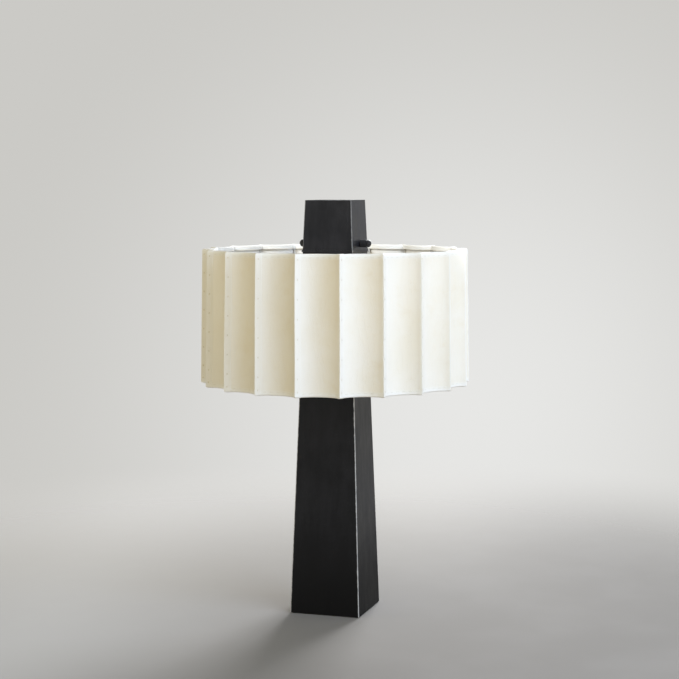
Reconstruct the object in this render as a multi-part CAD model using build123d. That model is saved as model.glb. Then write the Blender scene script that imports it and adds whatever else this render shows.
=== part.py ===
from build123d import *
import math
import os

# Table lamp: a tapered square steel column, a fluted parchment drum shade on a wire frame,
# and a square cap that hides the shade's seat. Two bulbs stand inside the shade.
# Millimetres, +Z up, origin on the floor under the column's centre, front face towards -Y.

# Fits
weld_gap = 0.1  # round a plate or lug that is welded into a shell
thread_gap = 0.05  # radial, a screw in its thread
hole_gap = 0.25  # radial, a screw or nipple in a clear hole
turn_gap = 0.08  # radial, a turning stem in its bearing
wire_gap = 0.3  # from wire to wire and from wire to parchment
slide_gap = 0.3  # the hub round the post, and a pad before it
past = 1.0  # how far a cutting body runs past the face that it cuts

# Column and foot
felt_thickness = 1.5
felt_inset = 2.0
column_height = 621.5
column_foot_width = 124.0
column_head_width = 82.0
column_wall = 2.5
column_edge_radius = 1.2
top_plate_thickness = 5.0
base_plate_thickness = 5.0
lug_width = 16.0
lug_height = 12.0
base_screw_diameter = 5.0
base_screw_head_diameter = 9.5
base_screw_head_height = 2.3
base_screw_length = 14.0

# Ballast and terminal block
ballast_width = 100.0
ballast_height = 50.0
ballast_corner = 22.0
ballast_bolt_diameter = 8.0
ballast_bolt_spacing = 64.0
ballast_bolt_flats = 13.0
ballast_bolt_head = 5.3
ballast_washer_diameter = 16.0
ballast_washer_thickness = 1.6
block_width = 18.0
block_height = 16.0
block_end = 10.0  # from a lead's socket to the end of the block
terminal_screw_diameter = 4.0
terminal_screw_depth = 8.0
pan_head_ratio = 2.0  # head diameter over screw diameter
pan_height_ratio = 0.6  # head height over screw diameter

# Cord gland
gland_height = 92.0
gland_bore = 7.0
gland_hole = 11.0
gland_flange = 15.0
bush_lip = 2.5  # thickness of a bush's flange and of its inner collar
bush_grip = 2.0  # how much wider the inner collar is than the hole

# Lampholders on the column's two sides
shelf_height = 436.0
socket_reach = 42.0
bracket_thickness = 2.5
bracket_width = 30.0
bracket_leg = 48.0
bracket_bend = 3.0
bracket_end = 16.0  # from the lampholder's axis to the end of the shelf
bracket_screw_diameter = 4.0
bracket_screw_margin = 9.0
bracket_screw_pitch = 20.0
nut_flats_ratio = 1.75  # across flats over screw diameter
nut_height_ratio = 0.8  # nut height over screw diameter
nipple_diameter = 10.0
nipple_bore = 7.0
nipple_nut_flats = 14.0
nipple_nut_height = 4.0
nipple_end = 2.5  # nipple below its nut
lead_diameter = 5.6
lead_drop = 27.0
lead_bend = 12.0
lead_run = 20.0  # from the column's axis to a lead's upright run
lead_tuck = 5.0  # lead inside the nipple and inside the terminal block
grommet_hole = 11.0
grommet_flange = 15.0

# Lampholder
holder_hub_radius = 8.0
holder_hub_height = 4.0
holder_cap_radius = 18.2
holder_cap_height = 20.0
holder_cap_wall = 1.0
holder_shell_wall = 0.8
holder_shell_low = 14.5
holder_shell_top = 58.0
holder_rim = 1.0  # how far the shell's rolled rim stands out
core_top = 56.0
well_floor = 31.0
sleeve_wall = 0.5
contact_radius = 4.0
contact_height = 1.2
key_height = 25.0
key_stem_radius = 2.5
key_depth = 8.0
key_standoff = 6.0
key_length = 12.0
key_width = 14.0
key_thickness = 7.0
key_round = 1.6

# Bulb
bulb_cap_radius = 13.0
bulb_thread_gap = 0.3
bulb_button_radius = 4.5
bulb_button_height = 2.0
bulb_shoulder_height = 2.0
bulb_body_height = 29.5
bulb_globe_radius = 30.0
bulb_globe_seat = 18.0  # from the globe's centre down to the body
bulb_globe_wall = 1.5

# Shade
shade_height = 231.6
shade_top_radius = 228.5
shade_flare = 4.0  # how much the bottom rim's radius exceeds the top rim's
shade_turn = 1.5  # degrees that the shade sits turned on its hub
flute_count = 20
flute_depth = 14.0
panel_gap = 0.2
parchment = 1.0
hem_height = 9.0
ring_wire_diameter = 3.5
ring_corner_radius = 2.6
rib_wire_diameter = 2.8
arm_diameter = 4.0
arm_count = 4
hub_thickness = 4.0
hub_overhang = 1.0  # how far the hub shows beyond the cap
skirt_wall = 2.0  # the hub's turned-down edge round the column's head
skirt_gap = 0.8  # from the skirt to the column
skirt_margin = 1.5  # skirt below the arms that are welded to it

# Post and cap
post_width = 58.0
post_wall = 3.0
post_height = 41.0
post_bevel = 1.5
cap_height = 84.0
cap_foot_width = 89.0
cap_head_width = 82.0
cap_wall = 2.5
cap_edge_radius = 1.0
cap_plate_thickness = 4.0

# Thumbscrews
knob_rise = 9.8  # axis above the cap's lower edge
knob_diameter = 12.8
knob_standoff = 0.9
knob_barrel = 11.0
knob_groove = 2.0
knob_groove_depth = 1.1
knob_bevel = 0.8
thumbscrew_diameter = 6.0
boss_diameter = 12.0
boss_length = 4.0
pad_diameter = 10.0
pad_thickness = 3.0
pad_socket_depth = 1.8
pad_pin_diameter = 4.0
pad_play = 0.2

UP = Vector(0, 0, 1)
BACK = Vector(0, 1, 0)
SIDES = {"left": Vector(-1, 0, 0), "right": Vector(1, 0, 0)}
ON_FLOOR = (Align.CENTER, Align.CENTER, Align.MIN)

# Levels, from the floor up
foot_z = felt_thickness
base_top = foot_z + base_plate_thickness
ballast_top = base_top + ballast_height
column_top = foot_z + column_height
post_top = column_top + post_height
cap_low = column_top + hub_thickness
cap_top = cap_low + cap_height
hub_middle = column_top + hub_thickness / 2
knob_z = cap_low + knob_rise

# Slopes of the two tapered shells
column_slope = (column_foot_width - column_head_width) / 2 / column_height
column_lean = math.atan(column_slope)
column_wall_run = column_wall / math.cos(column_lean)
cap_slope = (cap_foot_width - cap_head_width) / 2 / cap_height
cap_wall_run = cap_wall / math.cos(math.atan(cap_slope))


def column_half(z):
    """Half the column's outer width at a height."""
    return column_foot_width / 2 - column_slope * (z - foot_z)


def cap_half(z):
    """Half the cap's outer width at a height."""
    return cap_foot_width / 2 - cap_slope * (z - cap_low)


def square_taper(low, half_low, high, half_high):
    """Solid square pyramid stump between two levels."""
    lean = math.degrees(math.atan2(half_low - half_high, high - low))
    foot = Rectangle(2 * half_low, 2 * half_low)
    return Pos(0, 0, low) * extrude(foot, high - low, taper=lean)


def column_inside(gap, low, high):
    """Body that fills the column's inside between two levels, less a gap all round."""
    inset = column_wall_run + gap
    return square_taper(low, column_half(low) - inset, high, column_half(high) - inset)


def cap_inside(gap, low, high):
    """Body that fills the cap's inside between two levels, less a gap all round."""
    inset = cap_wall_run + gap
    return square_taper(low, cap_half(low) - inset, high, cap_half(high) - inset)


def rod(radius, start, end):
    """Cylinder along +X."""
    return Pos(start, 0, 0) * Rot(0, 90, 0) * Cylinder(radius, end - start, align=ON_FLOOR)


def post_rod(radius, low, high):
    """Cylinder along +Z."""
    return Pos(0, 0, low) * Cylinder(radius, high - low, align=ON_FLOOR)


def turned(points):
    """Solid of revolution about Z from a closed outline of (radius, height) points."""
    return revolve(Plane.XZ * make_face(Polyline(*points, close=True)), Axis.Z)


def hexagon(flats, low, high):
    """Hexagonal prism along +Z."""
    outline = RegularPolygon(flats / 2, 6, major_radius=False)
    return Pos(0, 0, low) * extrude(outline, high - low)


def face_frame(outward, z):
    """Frame on the column's outer face at a height: X out of the face, Z up along it."""
    out = outward * math.cos(column_lean) + UP * math.sin(column_lean)
    along = UP * math.cos(column_lean) - outward * math.sin(column_lean)
    return Plane(origin=outward * column_half(z) + UP * z, x_dir=out, z_dir=along)


def bush(bore, hole, flange):
    """Snap-in bush in the column's wall, with its flange outside and a collar inside."""
    body = rod(flange / 2, 0, bush_lip)
    body += rod(hole / 2 - weld_gap, -column_wall, 0)
    body += rod(hole / 2 + bush_grip, -column_wall - bush_lip, -column_wall)
    return body - rod(bore / 2, -column_wall - bush_lip - past, bush_lip + past)


def pan_screw(diameter, grip):
    """Pan-head screw along -X: the head's seat is at zero and the shank reaches minus grip."""
    head = rod(pan_head_ratio * diameter / 2, 0, pan_height_ratio * diameter)
    head = fillet(head.edges().sort_by(Axis.X)[-1], pan_height_ratio * diameter / 2)
    return head + rod(diameter / 2, -grip, 0)


def group(solids):
    """Separate solids in one node."""
    return Compound(children=list(solids))


nodes = {}

# Column: one welded shell, open below, with the holes that the bushes and brackets need.
upright = square_taper(foot_z, column_half(foot_z), column_top, column_half(column_top))
corner_edges = upright.edges().filter_by(lambda edge: edge.length > column_height)
column_shell = fillet(corner_edges, column_edge_radius)
column_shell -= column_inside(0, foot_z - past, column_top + past)

side_frames = {side: face_frame(outward, shelf_height) for side, outward in SIDES.items()}
gland_frame = face_frame(BACK, gland_height)
bracket_screw_heights = [
    bracket_leg - bracket_screw_margin,
    bracket_leg - bracket_screw_margin - bracket_screw_pitch,
]
for frame in side_frames.values():
    for height in bracket_screw_heights:
        hole = rod(bracket_screw_diameter / 2 + hole_gap, -column_wall - past, past)
        column_shell -= frame * Pos(0, 0, height) * hole
    lead_hole = rod(grommet_hole / 2, -column_wall - past, past)
    column_shell -= frame * Pos(0, 0, -lead_drop) * lead_hole
column_shell -= gland_frame * rod(gland_hole / 2, -column_wall - past, past)
nodes["column_shell"] = column_shell
nodes["cord_gland"] = gland_frame * bush(gland_bore, gland_hole, gland_flange)

# Head of the column: a welded plate and the square post that the shade's hub drops over.
nodes["column_top_plate"] = column_inside(weld_gap, column_top - top_plate_thickness, column_top)
post = Pos(0, 0, column_top) * Box(post_width, post_width, post_height, align=ON_FLOOR)
post = chamfer(post.edges().group_by(Axis.Z)[-1], post_bevel)
post_hollow = post_width - 2 * post_wall
post -= Pos(0, 0, column_top - past) * Box(
    post_hollow, post_hollow, post_height + 2 * past, align=ON_FLOOR
)
nodes["cap_post"] = post

# Foot: base plate on four corner lugs, with a felt pad that hides the screws.
lug_reach = column_half(base_top + lug_height) - column_wall_run - weld_gap
lug_middle = lug_reach - lug_width / 2
lug_places = [Pos(x, y, 0) for x in (-lug_middle, lug_middle) for y in (-lug_middle, lug_middle)]
bolt_places = [Pos(0, y, 0) for y in (-ballast_bolt_spacing / 2, ballast_bolt_spacing / 2)]
screw_radius = base_screw_diameter / 2
screw_head_top = foot_z + base_screw_head_height

lug = Pos(0, 0, base_top) * Box(lug_width, lug_width, lug_height, align=ON_FLOOR)
lug -= post_rod(screw_radius + thread_gap, base_top - past, base_top + lug_height + past)
screw = Pos(0, 0, foot_z) * Cone(
    base_screw_head_diameter / 2, screw_radius, base_screw_head_height, align=ON_FLOOR
)
screw += post_rod(screw_radius, screw_head_top, foot_z + base_screw_length)
sink = Pos(0, 0, foot_z) * Cone(
    base_screw_head_diameter / 2 + hole_gap,
    screw_radius + hole_gap,
    base_screw_head_height,
    align=ON_FLOOR,
)
sink += post_rod(screw_radius + hole_gap, foot_z, base_top + past)
base_plate = column_inside(weld_gap, foot_z, base_top)
for place in lug_places:
    base_plate -= place * sink
for place in bolt_places:
    tapped = post_rod(ballast_bolt_diameter / 2 + thread_gap, foot_z - past, base_top + past)
    base_plate -= place * tapped
felt_width = 2 * (column_half(foot_z) - felt_inset)
nodes["base_plate"] = base_plate
nodes["base_lugs"] = group(place * lug for place in lug_places)
nodes["base_screws"] = group(place * screw for place in lug_places)
nodes["felt_pad"] = Box(felt_width, felt_width, felt_thickness, align=ON_FLOOR)

# Ballast: an iron block bolted down on the base plate, with the terminal block on top of it.
ballast_outline = Rectangle(ballast_width, ballast_width)
ballast_outline = chamfer(ballast_outline.vertices(), ballast_corner)
ballast = Pos(0, 0, base_top) * extrude(ballast_outline, ballast_height)
for place in bolt_places:
    clear = post_rod(ballast_bolt_diameter / 2 + hole_gap, base_top - past, ballast_top + past)
    ballast -= place * clear
ballast -= post_rod(
    terminal_screw_diameter / 2 + thread_gap,
    ballast_top - terminal_screw_depth - past,
    ballast_top + past,
)
washer_top = ballast_top + ballast_washer_thickness
washer = post_rod(ballast_washer_diameter / 2, ballast_top, washer_top)
washer -= post_rod(ballast_bolt_diameter / 2 + hole_gap, ballast_top - past, washer_top + past)
bolt = hexagon(ballast_bolt_flats, washer_top, washer_top + ballast_bolt_head)
bolt += post_rod(ballast_bolt_diameter / 2, foot_z, washer_top)
nodes["ballast_block"] = ballast
nodes["ballast_washers"] = group(place * washer for place in bolt_places)
nodes["ballast_bolts"] = group(place * bolt for place in bolt_places)

block_top = ballast_top + block_height
block_length = 2 * (lead_run + block_end)
lead_radius = lead_diameter / 2
block = Pos(0, 0, ballast_top) * Box(block_length, block_width, block_height, align=ON_FLOOR)
block -= post_rod(terminal_screw_diameter / 2 + hole_gap, ballast_top - past, block_top + past)
for outward in SIDES.values():
    lead_socket = post_rod(lead_radius + turn_gap, block_top - lead_tuck - wire_gap, block_top + past)
    block -= Pos(outward * lead_run) * lead_socket
nodes["terminal_block"] = block
nodes["terminal_screw"] = (
    Pos(0, 0, block_top)
    * Rot(0, -90, 0)
    * pan_screw(terminal_screw_diameter, block_height + terminal_screw_depth)
)

# Lampholder brackets: a bent strip on each side of the column, screwed through its wall.
shelf_length = socket_reach + bracket_end
bracket_outline = Polygon(
    (0, -bracket_thickness),
    (shelf_length, -bracket_thickness),
    (shelf_length, 0),
    (bracket_thickness, 0),
    (bracket_thickness, bracket_leg),
    (0, bracket_leg),
    align=None,
)
inner_bend = bracket_outline.vertices().sort_by_distance((bracket_thickness, 0, 0))[0]
bracket_outline = fillet(inner_bend, bracket_bend)
outer_bend = bracket_outline.vertices().sort_by_distance((0, -bracket_thickness, 0))[0]
bracket_outline = fillet(outer_bend, bracket_bend + bracket_thickness)
bracket = extrude(Plane.XZ * bracket_outline, bracket_width / 2, both=True)
shelf_corners = bracket.edges().filter_by(Axis.Z).group_by(Axis.X)[-1]
bracket = fillet(shelf_corners, bracket_end / 2)
nipple_radius = nipple_diameter / 2
nipple_hole = post_rod(nipple_radius + hole_gap, -bracket_thickness - past, past)
bracket -= Pos(socket_reach, 0, 0) * nipple_hole
for height in bracket_screw_heights:
    hole = rod(bracket_screw_diameter / 2 + hole_gap, -past, bracket_thickness + past)
    bracket -= Pos(0, 0, height) * hole

bracket_nut_height = nut_height_ratio * bracket_screw_diameter
bracket_screw = Pos(bracket_thickness, 0, 0) * pan_screw(
    bracket_screw_diameter, bracket_thickness + column_wall + bracket_nut_height
)
bracket_nut = hexagon(nut_flats_ratio * bracket_screw_diameter, 0, bracket_nut_height)
bracket_nut -= post_rod(bracket_screw_diameter / 2 + thread_gap, -past, bracket_nut_height + past)
bracket_nut = Pos(-column_wall, 0, 0) * Rot(0, -90, 0) * bracket_nut
screw_places = [
    frame * Pos(0, 0, height) for frame in side_frames.values() for height in bracket_screw_heights
]
nodes["bracket_screws"] = group(place * bracket_screw for place in screw_places)
nodes["bracket_nuts"] = group(place * bracket_nut for place in screw_places)
grommet = Pos(0, 0, -lead_drop) * bush(lead_diameter + 2 * turn_gap, grommet_hole, grommet_flange)
nodes["lead_grommets"] = group(frame * grommet for frame in side_frames.values())

# Lampholder on its nipple: cap, shell, core, contacts and a turn key, about the socket's axis.
nut_low = -bracket_thickness - nipple_nut_height
nipple_low = nut_low - nipple_end
dome = holder_cap_radius - holder_hub_radius
dome_top = holder_hub_height + dome
hub_top = holder_hub_height + holder_cap_wall
cap_bore = nipple_radius + thread_gap
cap_inner = holder_cap_radius - holder_cap_wall
quarter = math.sqrt(0.5)

nipple = post_rod(nipple_radius, nipple_low, hub_top)
nipple -= post_rod(nipple_bore / 2, nipple_low - past, hub_top + past)
nipple_nut = hexagon(nipple_nut_flats, nut_low, -bracket_thickness)
nipple_nut -= post_rod(nipple_radius + thread_gap, nut_low - past, past)

outer_dome = ThreePointArc(
    (holder_hub_radius, holder_hub_height),
    (holder_hub_radius + dome * quarter, dome_top - dome * quarter),
    (holder_cap_radius, dome_top),
)
inner_dome_radius = dome - holder_cap_wall
inner_dome = ThreePointArc(
    (cap_inner, dome_top),
    (holder_hub_radius + inner_dome_radius * quarter, dome_top - inner_dome_radius * quarter),
    (holder_hub_radius, hub_top),
)
hub_line = Polyline(
    (holder_hub_radius, hub_top),
    (cap_bore, hub_top),
    (cap_bore, 0),
    (holder_hub_radius, 0),
    (holder_hub_radius, holder_hub_height),
)
rim_line = Polyline(
    (holder_cap_radius, dome_top),
    (holder_cap_radius, holder_cap_height),
    (cap_inner, holder_cap_height),
    (cap_inner, dome_top),
)
holder_cap = revolve(
    Plane.XZ * make_face([outer_dome, rim_line, inner_dome, hub_line]), Axis.Z
)

shell_radius = cap_inner - weld_gap
shell_inner = shell_radius - holder_shell_wall
core_radius = shell_inner - weld_gap
sleeve_inner = bulb_cap_radius + bulb_thread_gap
sleeve_outer = sleeve_inner + sleeve_wall
rim_radius = shell_radius + holder_rim
shell = turned(
    [
        (shell_inner, holder_shell_low),
        (shell_radius, holder_shell_low),
        (shell_radius, holder_shell_top - 2 * holder_rim),
        (rim_radius, holder_shell_top - holder_rim),
        (rim_radius, holder_shell_top),
        (shell_inner, holder_shell_top),
    ]
)
key_hole = rod(key_stem_radius + turn_gap, core_radius - key_depth, holder_cap_radius + past)
key_hole = Pos(0, 0, key_height) * key_hole
shell -= key_hole
core = post_rod(core_radius, holder_shell_low, core_top)
core -= post_rod(sleeve_outer + weld_gap, well_floor, core_top + past)
core -= key_hole
sleeve = post_rod(sleeve_outer, well_floor, core_top)
sleeve -= post_rod(sleeve_inner, well_floor - past, core_top + past)
contact_top = well_floor + contact_height
contact = post_rod(contact_radius, well_floor, contact_top)

key_start = shell_radius + key_standoff
stem = rod(key_stem_radius, core_radius - key_depth + wire_gap, key_start)
paddle = extrude(Plane.YZ * Ellipse(key_width / 2, key_thickness / 2), key_length)
paddle = fillet(paddle.edges(), key_round)
key = Pos(0, 0, key_height) * (stem + Pos(key_start, 0, 0) * paddle)

# Bulb: screw cap, flared body and opal globe, standing in the lampholder.
button_low = contact_top + wire_gap
button_top = button_low + bulb_button_height
thread_low = button_top + bulb_shoulder_height
body_low = holder_shell_top + wire_gap
body_top = body_low + bulb_body_height
globe_middle = body_top + bulb_globe_seat
globe_inner = bulb_globe_radius - bulb_globe_wall
body_top_radius = math.sqrt(bulb_globe_radius**2 - bulb_globe_seat**2)
inner_edge_radius = math.sqrt(globe_inner**2 - bulb_globe_seat**2)
bulb_cap = turned(
    [
        (0, button_low),
        (bulb_button_radius, button_low),
        (bulb_button_radius, button_top),
        (bulb_cap_radius, thread_low),
        (bulb_cap_radius, body_low),
        (0, body_low),
    ]
)
flare = ThreePointArc(
    (bulb_cap_radius, body_low),
    ((bulb_cap_radius + body_top_radius) / 2 - bulb_globe_wall, (body_low + body_top) / 2),
    (body_top_radius, body_top),
)
body_line = Polyline(
    (body_top_radius, body_top), (0, body_top), (0, body_low), (bulb_cap_radius, body_low)
)
bulb_body = revolve(Plane.XZ * make_face([flare, body_line]), Axis.Z)
globe_outer_arc = ThreePointArc(
    (body_top_radius, body_top),
    (bulb_globe_radius, globe_middle),
    (0, globe_middle + bulb_globe_radius),
)
globe_inner_arc = ThreePointArc(
    (inner_edge_radius, body_top), (globe_inner, globe_middle), (0, globe_middle + globe_inner)
)
globe_rim = Line((inner_edge_radius, body_top), (body_top_radius, body_top))
globe_axis = Line((0, globe_middle + bulb_globe_radius), (0, globe_middle + globe_inner))
bulb_globe = revolve(
    Plane.XZ * make_face([globe_rim, globe_outer_arc, globe_axis, globe_inner_arc]), Axis.Z
)

on_axis = Pos(socket_reach, 0, 0)
for side, frame in side_frames.items():
    nodes["socket_bracket_" + side] = frame * bracket
    nodes["socket_nipple_" + side] = frame * on_axis * nipple
    nodes["socket_cap_" + side] = frame * on_axis * holder_cap
    nodes["socket_shell_" + side] = frame * on_axis * shell
    nodes["socket_core_" + side] = frame * on_axis * core
    nodes["socket_contacts_" + side] = group(
        frame * on_axis * piece for piece in (sleeve, contact)
    )
    nodes["socket_key_" + side] = frame * on_axis * key
    nodes["bulb_cap_" + side] = frame * on_axis * bulb_cap
    nodes["bulb_body_" + side] = frame * on_axis * bulb_body
    nodes["bulb_globe_" + side] = frame * on_axis * bulb_globe
nodes["nipple_nuts"] = group(frame * on_axis * nipple_nut for frame in side_frames.values())

# Leads: from the nipple down, through the column's wall and down the column to the terminal block.
for side, frame in side_frames.items():
    lead_start = frame.from_local_coords(Vector(socket_reach, 0, nipple_low + lead_tuck))
    lead_turn = frame.from_local_coords(Vector(socket_reach, 0, -lead_drop))
    inward = (lead_turn.dot(SIDES[side]) - lead_run) / math.cos(column_lean)
    lead_fall = lead_turn - frame.x_dir * inward
    lead_end = SIDES[side] * lead_run + UP * (block_top - lead_tuck)
    route = FilletPolyline(lead_start, lead_turn, lead_fall, lead_end, radius=lead_bend)
    lead_section = Plane(origin=route @ 0, z_dir=route % 0) * Circle(lead_radius)
    nodes["socket_lead_" + side] = sweep(lead_section, path=route)

# Shade: every flute is part of a cone about an upright axis that stands outside the shade.
shade_bottom_radius = shade_top_radius + shade_flare
flute_half = math.radians(180 / flute_count)
half_chord = shade_top_radius * math.sin(flute_half)
rho_top = (half_chord**2 + flute_depth**2) / (2 * flute_depth)
flute_axis = shade_top_radius * math.cos(flute_half) - flute_depth + rho_top
rho_bottom = math.hypot(
    flute_axis - shade_bottom_radius * math.cos(flute_half),
    shade_bottom_radius * math.sin(flute_half),
)
ring_radius = ring_wire_diameter / 2
ring_inset = parchment + wire_gap + ring_radius
hem_depth = 2 * ring_inset
shade_top = hub_middle + ring_inset
shade_low = shade_top - shade_height
ring_levels = {"top_ring": hub_middle, "bottom_ring": shade_low + ring_inset}


def flute_radius(z):
    """Radius of a flute's outer face about the flute's own axis, at a height."""
    share = (z - shade_low) / shade_height
    return rho_bottom + (rho_top - rho_bottom) * share


def flute_x(z, inset):
    """Distance of a flute's middle from the lamp's axis, at a height and an inset."""
    return flute_axis - flute_radius(z) - inset


def ridge_radius(z, inset):
    """Distance of the corner between two flutes from the lamp's axis, at an inset."""
    rho = flute_radius(z) + inset
    offside = flute_axis * math.sin(flute_half)
    return flute_axis * math.cos(flute_half) - math.sqrt(rho**2 - offside**2)


def ring_corner(z):
    """Distance of a ring wire's rounded corner from the lamp's axis."""
    corner = ridge_radius(z, ring_inset)
    offside = flute_axis * math.sin(flute_half)
    spread = math.atan2(offside, flute_axis * math.cos(flute_half) - corner)
    return corner - ring_corner_radius * (1 / math.cos(spread) - 1)


def around(radius, angle):
    """Point on a circle about the lamp's axis."""
    return Vector(radius * math.cos(angle), radius * math.sin(angle), 0)


def ring(z):
    """Wire that follows the flutes, with rounded corners behind the ridges."""
    corner = ridge_radius(z, ring_inset)
    valley = flute_x(z, ring_inset)
    arcs = []
    for index in range(flute_count):
        start = 2 * flute_half * index
        arcs.append(
            ThreePointArc(
                around(corner, start),
                around(valley, start + flute_half),
                around(corner, start + 2 * flute_half),
            )
        )
    outline = make_face(arcs)
    outline = fillet(outline.vertices(), ring_corner_radius)
    path = Pos(0, 0, z) * outline.face().outer_wire()
    section = Plane(origin=path @ 0, z_dir=path % 0) * Circle(ring_radius)
    return sweep(section, path=path)


turn = Rot(0, 0, shade_turn)
for name, level in ring_levels.items():
    nodes[name] = turn * ring(level)

rib_radius = rib_wire_diameter / 2
rib_clear = ring_radius + wire_gap
rib_low = ring_levels["bottom_ring"] + rib_clear
rib_high = ring_levels["top_ring"] - rib_clear
rib_start = Vector(ring_corner(rib_low), 0, rib_low)
rib_end = Vector(ring_corner(rib_high), 0, rib_high)
rib_frame = Plane(origin=rib_start, z_dir=rib_end - rib_start)
rib = rib_frame * Cylinder(rib_radius, (rib_end - rib_start).length, align=ON_FLOOR)
flute_pitch = 360 / flute_count
nodes["rib_wires"] = group(turn * Rot(0, 0, flute_pitch * k) * rib for k in range(flute_count))

# Spider: four arms, just under the hem, from the hub's skirt to the ribs.
hem_high = shade_top - hem_height
hem_low = shade_low + hem_height
arm_radius = arm_diameter / 2
arm_z = hem_high - wire_gap - arm_radius
skirt_low = arm_z - arm_radius - skirt_margin
skirt_inner = column_half(skirt_low) + skirt_gap
skirt_half = skirt_inner + skirt_wall
turn_angle = math.radians(shade_turn)
arm_start = skirt_half / math.cos(turn_angle) + arm_radius * math.tan(abs(turn_angle))
arm_end = ring_corner(arm_z) - rib_radius - wire_gap
arm = Pos(0, 0, arm_z) * rod(arm_radius, arm_start, arm_end)
arm_ridges = [round(k * flute_count / arm_count) for k in range(arm_count)]
nodes["spider_arms"] = group(turn * Rot(0, 0, flute_pitch * k) * arm for k in arm_ridges)

# Hub: a square plate with a hole for the post and a skirt that fits over the column's head.
hub_half = max(cap_foot_width / 2 + hub_overhang, skirt_half)
hub_hole = post_width + 2 * slide_gap
hub_plate = Rectangle(2 * hub_half, 2 * hub_half) - Rectangle(hub_hole, hub_hole)
hub_skirt = Rectangle(2 * skirt_half, 2 * skirt_half) - Rectangle(2 * skirt_inner, 2 * skirt_inner)
hub = Pos(0, 0, column_top) * extrude(hub_plate, hub_thickness)
hub += Pos(0, 0, skirt_low) * extrude(hub_skirt, column_top - skirt_low)
nodes["hub_ring"] = hub

# Panels: one parchment panel to a flute, its hems turned in round both ring wires.
deck_high = shade_top - parchment
deck_low = shade_low + parchment
hem_inner = hem_depth - parchment
panel_outline = [
    (flute_x(shade_low, 0), shade_low),
    (flute_x(shade_top, 0), shade_top),
    (flute_x(shade_top, hem_depth), shade_top),
    (flute_x(hem_high, hem_depth), hem_high),
    (flute_x(hem_high, hem_inner), hem_high),
    (flute_x(deck_high, hem_inner), deck_high),
    (flute_x(deck_high, parchment), deck_high),
    (flute_x(deck_low, parchment), deck_low),
    (flute_x(deck_low, hem_inner), deck_low),
    (flute_x(hem_low, hem_inner), hem_low),
    (flute_x(hem_low, hem_depth), hem_low),
    (flute_x(shade_low, hem_depth), shade_low),
]
flute_line = Axis((flute_axis, 0, 0), (0, 0, 1))
sweep_angle = 180 - 2 * math.degrees(flute_half)
panel = revolve(
    Plane.XZ * make_face(Polyline(*panel_outline, close=True)), flute_line, sweep_angle
)
panel = panel.rotate(flute_line, -sweep_angle / 2)
half_gap = panel_gap / 2 / math.sin(flute_half)
wedge_reach = flute_axis
wedge = Polygon(
    (half_gap, 0),
    (half_gap + wedge_reach, -wedge_reach * math.tan(flute_half)),
    (half_gap + wedge_reach, wedge_reach * math.tan(flute_half)),
    align=None,
)
panel &= Pos(0, 0, shade_low - past) * extrude(wedge, shade_height + 2 * past)
panel_turns = [Rot(0, 0, flute_pitch * (index + 0.5)) for index in range(flute_count)]
nodes["shade_panels"] = group(turn * place * panel for place in panel_turns)

# Cap: a welded shell with a closed top that stands on the hub, with a threaded boss on two sides.
cap_block = square_taper(cap_low, cap_half(cap_low), cap_top, cap_half(cap_top))
cap_edges = cap_block.edges().filter_by(lambda edge: abs((edge @ 1 - edge @ 0).Z) > cap_height / 2)
cap_shell = fillet(cap_edges, cap_edge_radius)
cap_shell -= cap_inside(0, cap_low - past, cap_top + past)
boss_end = cap_half(knob_z)
boss_start = boss_end - cap_wall_run - boss_length
screw_hole = rod(thumbscrew_diameter / 2 + turn_gap, boss_start - past, boss_end + cap_wall)
screw_hole = Pos(0, 0, knob_z) * screw_hole
boss = Pos(0, 0, knob_z) * rod(boss_diameter / 2, boss_start, boss_end)
boss &= cap_inside(weld_gap, cap_low, cap_top)
boss -= screw_hole
half_turns = {"left": Rot(0, 0, 180), "right": Rot(0, 0, 0)}
for place in half_turns.values():
    cap_shell -= place * screw_hole
nodes["cap_shell"] = cap_shell
nodes["cap_top_plate"] = cap_inside(weld_gap, cap_top - cap_plate_thickness, cap_top)
nodes["thumbscrew_bosses"] = group(place * boss for place in half_turns.values())

# Thumbscrews: a domed knob on a threaded shank, with a swivel pad on its tip.
pad_start = post_width / 2 + slide_gap
pad_end = pad_start + pad_thickness
pin_start = pad_end - pad_socket_depth + pad_play
shank_start = pad_end + pad_play
knob_start = cap_half(knob_z) + knob_standoff
barrel_end = knob_start + knob_barrel
dome_start = barrel_end + knob_groove
knob_radius = knob_diameter / 2
knob_tip = dome_start + knob_radius
pin_radius = pad_pin_diameter / 2
shank_radius = thumbscrew_diameter / 2
knob_line = Polyline(
    (knob_tip, 0),
    (pin_start, 0),
    (pin_start, pin_radius),
    (shank_start, pin_radius),
    (shank_start, shank_radius),
    (knob_start, shank_radius),
    (knob_start, knob_radius - knob_bevel),
    (knob_start + knob_bevel, knob_radius),
    (barrel_end, knob_radius),
    (barrel_end + knob_groove / 2, knob_radius - knob_groove_depth),
    (dome_start, knob_radius),
)
knob_dome = ThreePointArc(
    (dome_start, knob_radius),
    (dome_start + knob_radius * quarter, knob_radius * quarter),
    (knob_tip, 0),
)
thumbscrew = Pos(0, 0, knob_z) * revolve(make_face([knob_line, knob_dome]), Axis.X)
pad = rod(pad_diameter / 2, pad_start, pad_end)
pad -= rod(pin_radius + turn_gap, pad_end - pad_socket_depth, pad_end + past)
pad = Pos(0, 0, knob_z) * pad
for side, place in half_turns.items():
    nodes["thumbscrew_" + side] = place * thumbscrew
    nodes["thumbscrew_pad_" + side] = place * pad

os.makedirs("parts", exist_ok=True)
for name, shape in nodes.items():
    export_step(shape, "parts/" + name + ".step")
    print(name, "solids", len(shape.solids()), "volume", round(shape.volume, 1))
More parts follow.
